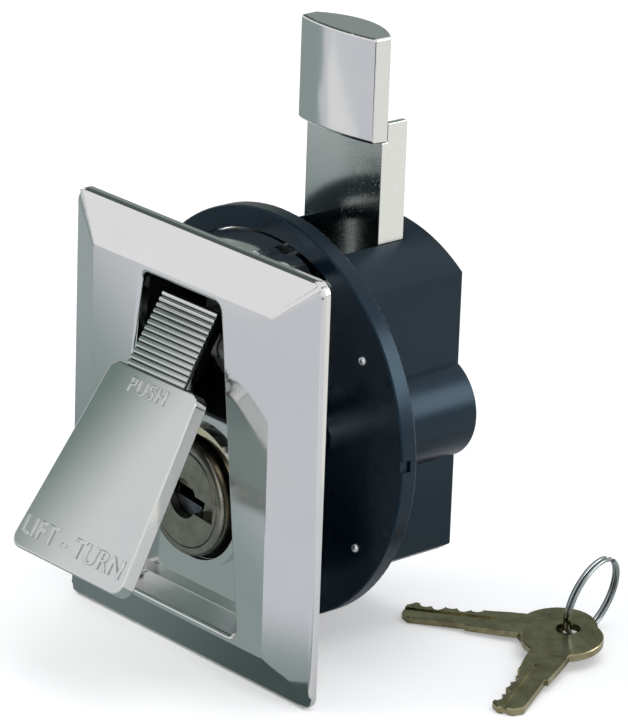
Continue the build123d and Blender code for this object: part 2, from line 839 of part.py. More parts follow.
def bolt_screw_seat_y(x):
    """Depth of the counterbore that sinks a screw's head in the bolt head's curved back."""
    share = (abs(x) + bolt_screw_head_radius) / head_half_width
    return head_side_rear_y + head_rear_bulge * (1 - share**2) - bolt_screw_head_height


def bolt_screws():
    screws = []
    for x, z in bolt_screw_places():
        seat = bolt_screw_seat_y(x)
        length = seat - head_side_front_y - 1 - head_fit
        screws.append(
            pan_head_screw(
                bolt_screw_radius, length, bolt_screw_head_radius, bolt_screw_head_height, x, z, seat
            )
        )
    return screws


def coil(radius, wire_radius, turns, height):
    """Open helical spring standing on Z = 0, its wire's outside ending at the height."""
    run = height - 2 * wire_radius
    path = Helix(pitch=run / turns, height=run, radius=radius)
    section = Plane(origin=path @ 0, z_dir=path % 0) * Circle(wire_radius)
    return Pos(0, 0, wire_radius) * sweep(section, path=path)


def bolt_springs():
    height = bar_bottom_z - spring_seat_z - 2 * spring_gap
    spring = coil(spring_coil_radius, spring_wire_radius, spring_turns, height)
    return [Pos(side * spring_x, spring_y, spring_seat_z + spring_gap) * spring for side in (-1, 1)]


def flatted_barrel(radius, flat_half):
    """Round outline with two flats, as on a lock barrel."""
    return Circle(radius) & Rectangle(2 * flat_half, 4 * radius)


def lock_body():
    collar = bar(lock_flange_radius, (lock_flange_front_y, pocket_floor_y), z=lock_z)
    collar = fillet(collar.faces().sort_by(Axis.Y)[0].edges(), lock_flange_edge)
    collar -= bar(lock_recess_radius, (lock_flange_front_y - 1, lock_flange_front_y + lock_recess_depth), z=lock_z)
    outline = Pos(0, lock_z) * flatted_barrel(barrel_radius, barrel_flat_half)
    barrel = prism(outline, (pocket_floor_y - barrel_root, barrel_rear_y))
    return collar + barrel - bar(plug_radius + plug_clearance, (face_y, barrel_rear_y + 1), z=lock_z)


def lock_nut():
    outline = RegularPolygon(nut_across_flats / sqrt(3), 6)
    outline -= flatted_barrel(barrel_radius + barrel_clearance, barrel_flat_half + barrel_clearance)
    return prism(Pos(0, lock_z) * outline, (pocket_back_y, pocket_back_y + nut_thickness))


def lock_plug():
    face_rear = plug_front_y + plug_face_thickness
    face = bar(plug_face_radius, (plug_front_y, face_rear), z=lock_z)
    face = fillet(face.faces().sort_by(Axis.Y)[0].edges(), plug_edge_radius)
    plug = face + bar(plug_radius, (face_rear - 1, cam_front_y), z=lock_z)
    half = plug_square / 2
    plug += box((-half, half), (cam_front_y - 1, cam_rear_y), (lock_z - half, lock_z + half))
    turned = Pos(0, lock_z) * Rot(0, 0, slot_turn)
    slot = Pos(slot_reach / 2, 0) * RectangleRounded(slot_reach, slot_height, slot_corner_radius)
    plug -= prism(turned * slot, (plug_front_y - 1, plug_front_y + slot_depth))
    plug -= prism(turned * Circle(slot_well_radius), (plug_front_y - 1, plug_front_y + slot_well_depth))
    keyway = Rectangle(2 * keyway_half_width, keyway_height)
    plug -= prism(turned * keyway, (plug_front_y, plug_front_y + keyway_depth))
    screw_hole = (cam_rear_y - cam_screw_length, cam_rear_y + 1)
    return plug - bar(cam_screw_radius + thread_clearance, screw_hole, z=lock_z)


def keyway_shutter():
    """Thin dust flap in the lower part of the well, over the keyway."""
    depth = plug_front_y + slot_well_depth
    radius = slot_well_radius - fit_clearance
    flap = Circle(radius) - Pos(0, radius - shutter_drop) * Rectangle(3 * radius, 2 * radius)
    return prism(Pos(0, lock_z) * Rot(0, 0, slot_turn) * flap, (depth - shutter_thickness, depth))


def lock_cam():
    straight = cam_reach - cam_half_width
    outline = Circle(cam_hub_radius) + Pos(-straight / 2, 0) * Rectangle(straight, 2 * cam_half_width)
    outline += Pos(-straight, 0) * Circle(cam_half_width)
    outline -= Rectangle(plug_square + square_fit, plug_square + square_fit)
    return prism(Pos(0, lock_z) * outline, (cam_front_y + end_play, cam_rear_y))


def cam_screw():
    return pan_head_screw(
        cam_screw_radius,
        cam_screw_length - 1,
        cam_screw_head_radius,
        cam_screw_head_height,
        0,
        lock_z,
        cam_rear_y,
    )


def flat_key():
    """Key lying flat, its tip at the origin and its bow along +X."""
    half = blade_half_width
    thin_half = half - blade_step
    bow_middle = key_length - bow_radius
    blade = make_face(
        Polyline(
            (0, -thin_half + tip_chamfer),
            (tip_chamfer, -thin_half),
            (blade_step_x, -thin_half),
            (blade_step_x, -half),
            (neck_x, -neck_half_width),
            (bow_middle, -neck_half_width),
            (bow_middle, neck_half_width),
            (neck_x, neck_half_width),
            (cut_start + (len(cut_depths) + 0.5) * cut_pitch, half),
            (tip_chamfer, half),
            (0, half - tip_chamfer),
            close=True,
        )
    )
    for index, depth in enumerate(cut_depths):
        x = cut_start + (index + 0.5) * cut_pitch
        valley = Polyline(
            (x - cut_pitch / 2, half + key_thickness),
            (x - cut_pitch / 2, half - depth * key_scale / 2),
            (x - cut_pitch / 6, half - depth * key_scale),
            (x + cut_pitch / 6, half - depth * key_scale),
            (x + cut_pitch / 2, half - depth * key_scale / 2),
            (x + cut_pitch / 2, half + key_thickness),
            close=True,
        )
        blade -= make_face(valley)
    key = extrude(blade + Pos(bow_middle, 0) * Circle(bow_radius), key_thickness)
    flats = key.faces().filter_by(Axis.Z)
    key = chamfer(flats.edges(), key_edge)
    key -= Pos(key_length - key_hole_inset, 0) * Cylinder(key_hole_radius, 4 * key_thickness)
    for z in (0, key_thickness):
        key -= Pos(key_groove_length / 2 - 1, key_groove_y, z) * Box(
            key_groove_length, key_groove_width, 2 * key_groove_depth
        )
        key -= Pos(bow_middle - bow_radius - neck_x / 2, 0, z) * Box(neck_x, 4 * half, 2 * blade_relief)
    return key


def lying_key(place, heading, slope, roll):
    """Key with its tip on the surface, its bow raised by a slope and its left side by a roll."""
    x, y = place
    lift = (blade_half_width - blade_step) * sin(radians(roll))
    raised = Rot(0, -degrees(atan2(slope, 1)), 0)
    return Pos(x, y, lift) * Rot(0, 0, heading) * raised * Rot(roll, 0, 0) * flat_key()


def on_surface(piece):
    """Set a piece of the key set down on the surface that the plate stands on."""
    return Pos(key_set_place[0], key_set_place[1], stand_z) * piece


def lower_key():
    return on_surface(lying_key((0, 0), lower_key_heading, lower_key_slope, lower_key_roll))


def upper_key():
    """The second key lies across the first one's bow."""
    return on_surface(lying_key(upper_key_place, upper_key_heading, upper_key_slope, 0))


def key_ring():
    """Split ring: two turns of wire lying against each other."""
    plane = Plane(origin=ring_centre, z_dir=ring_normal)
    shift = ring_wire_radius + ring_wire_gap / 2
    turns = [Pos(0, 0, side * shift) * Torus(ring_radius, ring_wire_radius) for side in (-1, 1)]
    bridge = Pos(ring_radius, 0, 0) * Box(ring_wire_radius, 2 * ring_wire_radius, 2 * shift)
    return on_surface(plane.location * (turns[0] + turns[1] + bridge))


def main():
    os.makedirs("parts", exist_ok=True)
    write("front_plate", front_plate())
    write("rear_housing", rear_housing())
    write("rear_cover", rear_cover())
    write("clamp_screws", *clamp_screws())
    write("cover_screws", *cover_screws())
    write("spindle_bush", spindle_bush())
    write("thrust_washer", thrust_washer())
    write("spindle", spindle())
    write("spindle_clip", spindle_clip())
    write("drive_arm", drive_arm())
    write("crank_pin", crank_pin())
    write("arm_washer", arm_washer())
    write("arm_screw", arm_screw())
    write("pivot_pin", pivot_pin())
    write("lug_washers", *lug_washers())
    write("lever", lever())
    write("bolt_bar", bolt_bar())
    write("bolt_head", bolt_head())
    write("bolt_screws", *bolt_screws())
    write("bolt_springs", *bolt_springs())
    write("lock_body", lock_body())
    write("lock_nut", lock_nut())
    write("lock_plug", lock_plug())
    write("keyway_shutter", keyway_shutter())
    write("lock_cam", lock_cam())
    write("cam_screw", cam_screw())
    write("key_1", lower_key())
    write("key_2", upper_key())
    write("key_ring", key_ring())


main()
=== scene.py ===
"""Looks of a flush lift-and-turn latch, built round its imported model.

Metres, in the model's own frame: the origin is the centre of the front plate's back, +Y goes
into the door, +Z is up. The camera stands to the front right, as in the reference photograph.
"""
import json
import math

import bmesh
import bpy
from mathutils import Matrix, Vector

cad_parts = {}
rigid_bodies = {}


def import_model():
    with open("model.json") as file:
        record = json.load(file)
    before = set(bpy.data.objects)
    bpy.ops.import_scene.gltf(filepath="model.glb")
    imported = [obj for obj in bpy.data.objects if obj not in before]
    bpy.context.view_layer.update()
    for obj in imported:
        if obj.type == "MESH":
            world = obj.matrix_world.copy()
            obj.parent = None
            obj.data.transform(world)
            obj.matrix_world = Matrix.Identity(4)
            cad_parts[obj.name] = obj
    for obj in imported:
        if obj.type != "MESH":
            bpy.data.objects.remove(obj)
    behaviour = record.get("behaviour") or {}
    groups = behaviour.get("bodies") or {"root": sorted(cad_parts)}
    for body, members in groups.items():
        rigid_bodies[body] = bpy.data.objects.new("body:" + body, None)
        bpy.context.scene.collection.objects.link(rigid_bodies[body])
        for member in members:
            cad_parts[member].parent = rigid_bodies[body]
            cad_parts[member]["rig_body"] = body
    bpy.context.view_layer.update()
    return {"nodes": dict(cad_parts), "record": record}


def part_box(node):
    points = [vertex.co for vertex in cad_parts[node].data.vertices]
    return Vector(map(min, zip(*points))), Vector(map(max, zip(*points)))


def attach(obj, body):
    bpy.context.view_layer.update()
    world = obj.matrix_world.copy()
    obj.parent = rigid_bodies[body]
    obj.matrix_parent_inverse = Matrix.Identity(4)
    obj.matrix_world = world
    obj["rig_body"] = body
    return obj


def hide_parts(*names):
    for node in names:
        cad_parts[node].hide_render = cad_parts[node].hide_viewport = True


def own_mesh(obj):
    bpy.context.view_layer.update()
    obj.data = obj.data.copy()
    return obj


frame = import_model()
MM = 0.001

# Camera, fitted to the plate's corners, the flange's circle and the body's lines
CAMERA_PLACE_MM = (653.968, -546.402, 326.598)
CAMERA_RIGHT = (0.651679, 0.757765, 0.033270)
CAMERA_UP = (-0.278378, 0.198143, 0.939811)
CAMERA_FORWARD = (-0.705564, 0.621717, -0.340071)
CAMERA_LENS_MM = 229.1
SENSOR_MM = 36.0

# Places of the lever and of what the scene adds to it, in millimetres
PIVOT_MM = (0.0, 3.3, 21.5)
LIFT_DEGREES = 32.4
LEVER_FACE_MM = 9.85
LOCK_Z_MM = -10.8
RING_CENTRE_MM = (44.337, 68.566, -35.15)
RING_NORMAL = (0.9494, 0.2372, -0.2059)
RING_RADIUS_MM = 8.69
RING_WIRE_MM = 0.42
RING_STEP_MM = 0.43
SPRING_X_MM = 6.5
SPRING_Y_MM = 41.2
SPRING_SPAN_MM = (-28.95, -4.05)
SPRING_COIL_MM = 2.5
SPRING_WIRE_MM = 0.4
PIPS_MM = [(x, 16.4, 3.2 + rise) for x in (-29.8, 29.8) for rise in (-19.7, 19.7)]
PIP_RADIUS_MM = 0.95
FLOOR_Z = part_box("front_plate")[0].z


def group(name, inputs, outputs):
    """New shader node group with its sockets; returns the tree and its two end nodes."""
    tree = bpy.data.node_groups.new(name, "ShaderNodeTree")
    for label, kind, value in inputs:
        socket = tree.interface.new_socket(name=label, in_out="INPUT", socket_type=kind)
        if value is not None:
            socket.default_value = value
    for label, kind in outputs:
        tree.interface.new_socket(name=label, in_out="OUTPUT", socket_type=kind)
    return tree, tree.nodes.new("NodeGroupInput"), tree.nodes.new("NodeGroupOutput")


def add(tree, kind, links=None, **values):
    """New node with its settings, socket values and links from other sockets."""
    node = tree.nodes.new(kind)
    for key, value in values.items():
        if hasattr(node, key):
            setattr(node, key, value)
        else:
            node.inputs[key.replace("_", " ")].default_value = value
    for label, source in (links or {}).items():
        tree.links.new(source, node.inputs[label])
    return node


def arithmetic(tree, operation, first, second):
    """Math node on two sockets or numbers."""
    node = tree.nodes.new("ShaderNodeMath")
    node.operation = operation
    for index, value in enumerate((first, second)):
        if isinstance(value, bpy.types.NodeSocket):
            tree.links.new(value, node.inputs[index])
        else:
            node.inputs[index].default_value = value
    return node.outputs[0]


def spread(tree, value, low, high, to_low, to_high):
    """Map Range node on a socket."""
    node = tree.nodes.new("ShaderNodeMapRange")
    tree.links.new(value, node.inputs["Value"])
    for label, number in (("From Min", low), ("From Max", high), ("To Min", to_low), ("To Max", to_high)):
        if isinstance(number, bpy.types.NodeSocket):
            tree.links.new(number, node.inputs[label])
        else:
            node.inputs[label].default_value = number
    return node.outputs["Result"]


def noise(tree, vector, scale, detail=3.0, roughness=0.5):
    """Noise value between 0 and 1 at a number of cells per metre."""
    node = tree.nodes.new("ShaderNodeTexNoise")
    tree.links.new(vector, node.inputs["Vector"])
    node.inputs["Detail"].default_value = detail
    node.inputs["Roughness"].default_value = roughness
    if isinstance(scale, bpy.types.NodeSocket):
        tree.links.new(scale, node.inputs["Scale"])
    else:
        node.inputs["Scale"].default_value = scale
    return node.outputs[0]


def polish_marks_group():
    """Fine lines that buffing leaves, and soft blotches in the gloss."""
    tree, start, end = group(
        "polish_marks",
        [("Stretch", "NodeSocketVector", (1.0, 1.0, 1.0)), ("Lines", "NodeSocketFloat", 2600.0)],
        [("Roughness", "NodeSocketFloat"), ("Height", "NodeSocketFloat"), ("Blotch", "NodeSocketFloat")],
    )
    place = add(tree, "ShaderNodeTexCoord").outputs["Object"]
    stretched = add(tree, "ShaderNodeVectorMath", {0: place, 1: start.outputs["Stretch"]}, operation="MULTIPLY")
    lines = noise(tree, stretched.outputs[0], start.outputs["Lines"], 2.0, 0.6)
    blotch = noise(tree, place, 55.0, 3.0, 0.55)
    fine = noise(tree, place, 900.0, 2.0, 0.5)
    mixed = arithmetic(tree, "ADD", arithmetic(tree, "MULTIPLY", lines, 0.6), arithmetic(tree, "MULTIPLY", fine, 0.4))
    tree.links.new(arithmetic(tree, "ADD", arithmetic(tree, "MULTIPLY", lines, 0.5),
                              arithmetic(tree, "MULTIPLY", blotch, 0.5)), end.inputs["Roughness"])
    tree.links.new(mixed, end.inputs["Height"])
    tree.links.new(blotch, end.inputs["Blotch"])
    return tree


def casting_waves_group():
    """Slow waves that a buffed casting shows in its reflections."""
    tree, start, end = group(
        "casting_waves", [("Waves", "NodeSocketFloat", 30.0)], [("Height", "NodeSocketFloat")]
    )
    place = add(tree, "ShaderNodeTexCoord").outputs["Object"]
    tree.links.new(noise(tree, place, start.outputs["Waves"], 1.0, 0.4), end.inputs["Height"])
    return tree


def mould_grain_group():
    """Fine grain and slow cloudiness of a moulded surface."""
    tree, start, end = group(
        "mould_grain",
        [("Grain", "NodeSocketFloat", 2400.0)],
        [("Height", "NodeSocketFloat"), ("Cloud", "NodeSocketFloat"), ("Speck", "NodeSocketFloat")],
    )
    place = add(tree, "ShaderNodeTexCoord").outputs["Object"]
    tree.links.new(noise(tree, place, start.outputs["Grain"], 3.0, 0.6), end.inputs["Height"])
    tree.links.new(noise(tree, place, 42.0, 4.0, 0.6), end.inputs["Cloud"])
    speck = noise(tree, place, 620.0, 1.0, 0.4)
    tree.links.new(spread(tree, speck, 0.70, 0.78, 0.0, 1.0), end.inputs["Speck"])
    return tree


def ring_band_group():
    """Mask of a round band about an axis along Y: one inside the band, soft at its edges."""
    tree, start, end = group(
        "ring_band",
        [("Centre", "NodeSocketVector", (0.0, 0.0, 0.0)), ("Inner", "NodeSocketFloat", 0.01),
         ("Outer", "NodeSocketFloat", 0.02), ("Softness", "NodeSocketFloat", 0.0003)],
        [("Mask", "NodeSocketFloat")],
    )
    place = add(tree, "ShaderNodeTexCoord").outputs["Object"]
    moved = add(tree, "ShaderNodeVectorMath", {0: place, 1: start.outputs["Centre"]}, operation="SUBTRACT")
    flat = add(tree, "ShaderNodeVectorMath", {0: moved.outputs[0]}, operation="MULTIPLY")
    flat.inputs[1].default_value = (1, 0, 1)
    distance = add(tree, "ShaderNodeVectorMath", {0: flat.outputs[0]}, operation="LENGTH").outputs["Value"]
    soft = start.outputs["Softness"]
    inside = spread(tree, distance, start.outputs["Inner"], arithmetic(tree, "ADD", start.outputs["Inner"], soft), 0, 1)
    outside = spread(tree, distance, arithmetic(tree, "SUBTRACT", start.outputs["Outer"], soft),
                     start.outputs["Outer"], 1, 0)
    tree.links.new(arithmetic(tree, "MULTIPLY", inside, outside), end.inputs["Mask"])
    return tree


def box_mask_group():
    """Mask that is one inside a box and soft at its sides."""
    tree, start, end = group(
        "box_mask",
        [("Low", "NodeSocketVector", (0.0, 0.0, 0.0)), ("High", "NodeSocketVector", (1.0, 1.0, 1.0)),
         ("Softness", "NodeSocketFloat", 0.0004)],
        [("Mask", "NodeSocketFloat")],
    )
    place = add(tree, "ShaderNodeTexCoord").outputs["Object"]
    total = None
    for first, second in (("Low", None), (None, "High")):
        ends = (start.outputs[first], place) if first else (place, start.outputs[second])
        depth = add(tree, "ShaderNodeVectorMath", {0: ends[1], 1: ends[0]}, operation="SUBTRACT")
        parts = add(tree, "ShaderNodeSeparateXYZ", {"Vector": depth.outputs[0]})
        for axis in "XYZ":
            share = spread(tree, parts.outputs[axis], 0.0, start.outputs["Softness"], 0.0, 1.0)
            total = arithmetic(tree, "MULTIPLY", total, share) if total else share
    tree.links.new(total, end.inputs["Mask"])
    return tree


def rib_valleys_group():
    """Mask of the grooves between the ribs on the lever's tail."""
    tree, start, end = group(
        "rib_valleys",
        [("Pivot", "NodeSocketVector", (0.0, 0.0, 0.0)), ("Inward", "NodeSocketVector", (0.0, 1.0, 0.0)),
         ("Upward", "NodeSocketVector", (0.0, 0.0, 1.0))],
        [("Mask", "NodeSocketFloat")],
    )
    place = add(tree, "ShaderNodeTexCoord").outputs["Object"]
    moved = add(tree, "ShaderNodeVectorMath", {0: place, 1: start.outputs["Pivot"]}, operation="SUBTRACT").outputs[0]
    inward = add(tree, "ShaderNodeVectorMath", {0: moved, 1: start.outputs["Inward"]}, operation="DOT_PRODUCT")
    upward = add(tree, "ShaderNodeVectorMath", {0: moved, 1: start.outputs["Upward"]}, operation="DOT_PRODUCT")
    deep = spread(tree, inward.outputs["Value"], -0.01005, -0.00970, 0.0, 1.0)
    shallow = spread(tree, inward.outputs["Value"], -0.0094, -0.0092, 1.0, 0.0)
    above = spread(tree, upward.outputs["Value"], -0.0124, -0.0119, 0.0, 1.0)
    both = arithmetic(tree, "MULTIPLY", arithmetic(tree, "MULTIPLY", deep, shallow), above)
    tree.links.new(both, end.inputs["Mask"])
    return tree


def tarnish_group():
    """Blotches of tarnish on a stamped surface, and a fine grain."""
    tree, start, end = group(
        "tarnish", [("Size", "NodeSocketFloat", 260.0)], [("Mask", "NodeSocketFloat"), ("Fine", "NodeSocketFloat")]
    )
    place = add(tree, "ShaderNodeTexCoord").outputs["Object"]
    large = noise(tree, place, start.outputs["Size"], 5.0, 0.62)
    tree.links.new(spread(tree, large, 0.38, 0.66, 0.0, 1.0), end.inputs["Mask"])
    tree.links.new(noise(tree, place, 3200.0, 3.0, 0.6), end.inputs["Fine"])
    return tree


POLISH = polish_marks_group()
WAVES = casting_waves_group()
GRAIN = mould_grain_group()
TARNISH = tarnish_group()
RING_BAND = ring_band_group()
BOX_MASK = box_mask_group()
RIB_VALLEYS = rib_valleys_group()


def use(tree, group_tree, **values):
    """Place a shared group in a material with that material's own values."""
    node = tree.nodes.new("ShaderNodeGroup")
    node.node_tree = group_tree
    for key, value in values.items():
        node.inputs[key].default_value = value
    return node


def new_material(name, **shader_values):
    """Material with a Principled shader; returns it, its tree and the shader."""
    material = bpy.data.materials.new(name)
    material.use_nodes = True
    tree = material.node_tree
    shader = tree.nodes["Principled BSDF"]
    for key, value in shader_values.items():
        shader.inputs[key.replace("_", " ")].default_value = value
    return material, tree, shader


def two_tone(tree, shader, mask, first, second):
    """Colour that runs between two tones by a mask."""
    mix = tree.nodes.new("ShaderNodeMix")
    mix.data_type = "RGBA"
    tree.links.new(mask, mix.inputs["Factor"])
    mix.inputs["A"].default_value = (*first, 1)
    mix.inputs["B"].default_value = (*second, 1)
    tree.links.new(mix.outputs["Result"], shader.inputs["Base Color"])
    return mix


def bumps(tree, shader, layers):
    """Chain of bump nodes: each layer is a height socket, a strength and a depth in metres."""
    normal = None
    for height, strength, depth in layers:
        node = tree.nodes.new("ShaderNodeBump")
        node.inputs["Strength"].default_value = strength
        node.inputs["Distance"].default_value = depth
        tree.links.new(height, node.inputs["Height"])
        if normal:
            tree.links.new(normal, node.inputs["Normal"])
        normal = node.outputs["Normal"]
    tree.links.new(normal, shader.inputs["Normal"])


def plated(name, light, dark, smooth, rough, stretch=(1, 1, 1), lines=2600.0, wave_depth=0.00006, line_depth=0.000002):
    """Bright plating on metal: two close tones, buffing lines and casting waves."""
    material, tree, shader = new_material(name, Metallic=1.0)
    marks = use(tree, POLISH, Stretch=stretch, Lines=lines)
    waves = use(tree, WAVES)
    two_tone(tree, shader, marks.outputs["Blotch"], dark, light)
    tree.links.new(spread(tree, marks.outputs["Roughness"], 0.3, 0.7, smooth, rough), shader.inputs["Roughness"])
    bumps(tree, shader, [(waves.outputs["Height"], 1.0, wave_depth), (marks.outputs["Height"], 0.5, line_depth)])
    return material


def moulded(name, light, dark, smooth, rough, grain_depth=0.000012):
    """Black moulding: grain and cloudy gloss."""
    material, tree, shader = new_material(name)
    shader.inputs["Specular IOR Level"].default_value = 0.38
    shader.inputs["Specular Tint"].default_value = (0.46, 0.76, 1.0, 1)
    grain = use(tree, GRAIN)
    two_tone(tree, shader, grain.outputs["Cloud"], dark, light)
    tree.links.new(spread(tree, grain.outputs["Cloud"], 0.35, 0.65, smooth, rough), shader.inputs["Roughness"])
    bumps(tree, shader, [(grain.outputs["Height"], 0.6, grain_depth)])
    return material


def worn_metal(name, light, dark, smooth, rough, size=260.0, fine_depth=0.000008):
    """Dull plated metal with tarnish."""
    material, tree, shader = new_material(name, Metallic=1.0)
    mask = use(tree, TARNISH, Size=size)
    two_tone(tree, shader, mask.outputs["Mask"], light, dark)
    tree.links.new(spread(tree, mask.outputs["Mask"], 0.0, 1.0, smooth, rough), shader.inputs["Roughness"])
    bumps(tree, shader, [(mask.outputs["Fine"], 0.5, fine_depth)])
    return material


def lay_over(material, mask, colour, roughness=None):
    """Let another tone, and if given another gloss, take over where a mask is one."""
    tree = material.node_tree
    shader = tree.nodes["Principled BSDF"]
    for name, value in (("Base Color", colour), ("Roughness", roughness)):
        if value is None:
            continue
        under = shader.inputs[name].links[0].from_socket
        mix = tree.nodes.new("ShaderNodeMix")
        mix.data_type = "RGBA" if name == "Base Color" else "FLOAT"
        tree.links.new(mask, mix.inputs["Factor"])
        tree.links.new(under, mix.inputs["A"])
        mix.inputs["B"].default_value = (*value, 1) if name == "Base Color" else value
        tree.links.new(mix.outputs["Result"], shader.inputs[name])


def add_collar_highlight(material):
    """Painted warm highlight on the upper half of the collar's rim, round the lock."""
    tree = material.node_tree
    band = use(tree, RING_BAND, Centre=(0, 0, LOCK_Z_MM * MM), Inner=0.0133, Outer=0.0151)
    place = tree.nodes.new("ShaderNodeSeparateXYZ")
    tree.links.new(tree.nodes.new("ShaderNodeTexCoord").outputs["Object"], place.inputs[0])
    on_front = spread(tree, place.outputs["Y"], -0.0006, -0.0003, 1.0, 0.0)
    in_pocket = spread(tree, place.outputs["Y"], -0.0052, -0.0048, 0.0, 1.0)
    upper = spread(tree, place.outputs["Z"], LOCK_Z_MM * MM - 0.007, LOCK_Z_MM * MM - 0.001, 0.0, 1.0)
    mask = arithmetic(tree, "MULTIPLY", band.outputs["Mask"], arithmetic(tree, "MULTIPLY", on_front, in_pocket))
    # Painted highlight: a warm cream tone on the upper part of the collar's rim.
    lay_over(material, arithmetic(tree, "MULTIPLY", mask, upper), (0.90, 0.78, 0.57))


def add_recess_shade(material):
    """Painted shade inside the cup, with a rougher unpolished gloss, and painted shade in the groove between the collar
    and the lock.
    """
    tree = material.node_tree
    cup = use(tree, BOX_MASK, Low=(-0.015, -0.0036, 0.0062), High=(0.015, 0.0160, 0.0383))
    # Painted shade in the cup's recess; the rougher gloss is the casting's own.
    lay_over(material, cup.outputs["Mask"], (0.05, 0.055, 0.058), 0.5)
    groove = use(tree, RING_BAND, Centre=(0, 0, LOCK_Z_MM * MM), Inner=0.0121, Outer=0.01338, Softness=0.00002)
    place = tree.nodes.new("ShaderNodeSeparateXYZ")
    tree.links.new(tree.nodes.new("ShaderNodeTexCoord").outputs["Object"], place.inputs[0])
    deep = spread(tree, place.outputs["Y"], -0.0008, -0.0006, 0.0, 1.0)
    mask = arithmetic(tree, "MULTIPLY", groove.outputs["Mask"], deep)
    # Painted shade in the groove between the collar and the lock.
    lay_over(material, mask, (0.01, 0.01, 0.01), 0.6)


def add_rib_groove_shade(material):
    """Painted shade in the grooves between the ribs, with a rougher gloss there."""
    lift = math.radians(LIFT_DEGREES)
    grooves = use(
        material.node_tree,
        RIB_VALLEYS,
        Pivot=Vector(PIVOT_MM) * MM,
        Inward=(0, math.cos(lift), -math.sin(lift)),
        Upward=(0, math.sin(lift), math.cos(lift)),
    )
    # Painted shade: a dark tone in the rib grooves.
    lay_over(material, grooves.outputs["Mask"], (0.035, 0.045, 0.045), 0.5)


def add_darker_web(material):
    """Darker tone on the bar's front face."""
    tree = material.node_tree
    front = use(tree, BOX_MASK, Low=(-0.0122, 0.0350, -0.010), High=(0.0122, 0.0360, 0.090), Softness=0.0001)
    lay_over(material, front.outputs["Mask"], (0.40, 0.44, 0.42))


def add_specks(material, colour, scale, amount):
    """Small pits and grime: dull specks of another tone."""
    tree = material.node_tree
    place = tree.nodes.new("ShaderNodeTexCoord").outputs["Object"]
    fine = noise(tree, place, scale, 2.0, 0.6)
    patch = noise(tree, place, 90.0, 2.0, 0.5)
    dots = spread(tree, fine, amount, amount + 0.03, 0, 1)
    mask = arithmetic(tree, "MULTIPLY", dots, spread(tree, patch, 0.45, 0.6, 0, 1))
    lay_over(material, mask, colour, 0.6)


FINISHES = {
    "polished_chrome": plated("polished_chrome", (0.72, 0.72, 0.71), (0.66, 0.665, 0.67), 0.07, 0.13),
    "lever_chrome": plated("lever_chrome", (0.70, 0.71, 0.69), (0.63, 0.64, 0.63), 0.06, 0.12),
    "black_housing": moulded("black_housing", (0.003, 0.009, 0.017), (0.001, 0.005, 0.010), 0.24, 0.36),
    "zinc_steel": plated("zinc_steel", (0.66, 0.65, 0.60), (0.52, 0.53, 0.54), 0.28, 0.42),
    "cast_zinc": worn_metal("cast_zinc", (0.36, 0.36, 0.35), (0.26, 0.26, 0.26), 0.38, 0.55),
    "bronze": worn_metal("bronze", (0.55, 0.38, 0.20), (0.40, 0.27, 0.14), 0.35, 0.5),
    "screw_steel": plated("screw_steel", (0.62, 0.61, 0.57), (0.50, 0.50, 0.50), 0.24, 0.38),
    "pin_steel": plated("pin_steel", (0.64, 0.64, 0.64), (0.56, 0.56, 0.57), 0.16, 0.26),
    "bar_steel": plated("bar_steel", (0.74, 0.75, 0.73), (0.66, 0.68, 0.67), 0.10, 0.20, (6, 6, 0.3), 1800.0),
    "spring_steel": plated("spring_steel", (0.46, 0.46, 0.47), (0.36, 0.36, 0.38), 0.25, 0.4),
    "lock_nickel": worn_metal("lock_nickel", (0.34, 0.32, 0.27), (0.22, 0.21, 0.18), 0.20, 0.32),
    "shutter_steel": worn_metal("shutter_steel", (0.16, 0.18, 0.20), (0.08, 0.09, 0.10), 0.3, 0.45),
    "key_brass": worn_metal("key_brass", (0.37, 0.335, 0.20), (0.20, 0.18, 0.10), 0.18, 0.34),
    "ring_steel": plated("ring_steel", (0.36, 0.40, 0.40), (0.22, 0.25, 0.25), 0.08, 0.14),
}
# Painted highlight on the upper half of the collar's rim.
add_collar_highlight(FINISHES["polished_chrome"])
# Painted shade inside the cup and in the groove round the lock.
add_recess_shade(FINISHES["polished_chrome"])
# Painted shade in the grooves between the ribs.
add_rib_groove_shade(FINISHES["lever_chrome"])
add_darker_web(FINISHES["bar_steel"])
add_specks(FINISHES["bar_steel"], (0.62, 0.66, 0.66), 2600.0, 0.64)
SLOT_OF = {entry["node"]: entry["material_slot"] for entry in frame["record"]["subparts"]}


def merged_copy(node, name):
    """Copy of a CAD node's mesh with its loose triangles joined and its flat faces made whole."""
    mesh = frame["nodes"][node].data.copy()
    mesh.name = name
    cleaned = bmesh.new()
    cleaned.from_mesh(mesh)
    bmesh.ops.remove_doubles(cleaned, verts=cleaned.verts, dist=2e-6)
    bmesh.ops.dissolve_limit(
        cleaned, angle_limit=math.radians(0.4), verts=cleaned.verts[:], edges=cleaned.edges[:]
    )
    cleaned.to_mesh(mesh)
    cleaned.free()
    return mesh


def mark_edges(mesh, test):
    """Give full bevel weight to the sharp edges whose middle, in millimetres, passes a test."""
    marked = bmesh.new()
    marked.from_mesh(mesh)
    weight = marked.edges.layers.float.get("bevel_weight_edge")
    weight = weight or marked.edges.layers.float.new("bevel_weight_edge")
    for edge in marked.edges:
        sharp = len(edge.link_faces) == 2 and edge.calc_face_angle(0.0) > math.radians(32)
        middle = (edge.verts[0].co + edge.verts[1].co) / (2 * MM)
        edge[weight] = 1.0 if sharp and test(middle) else 0.0
    marked.to_mesh(mesh)
    marked.free()


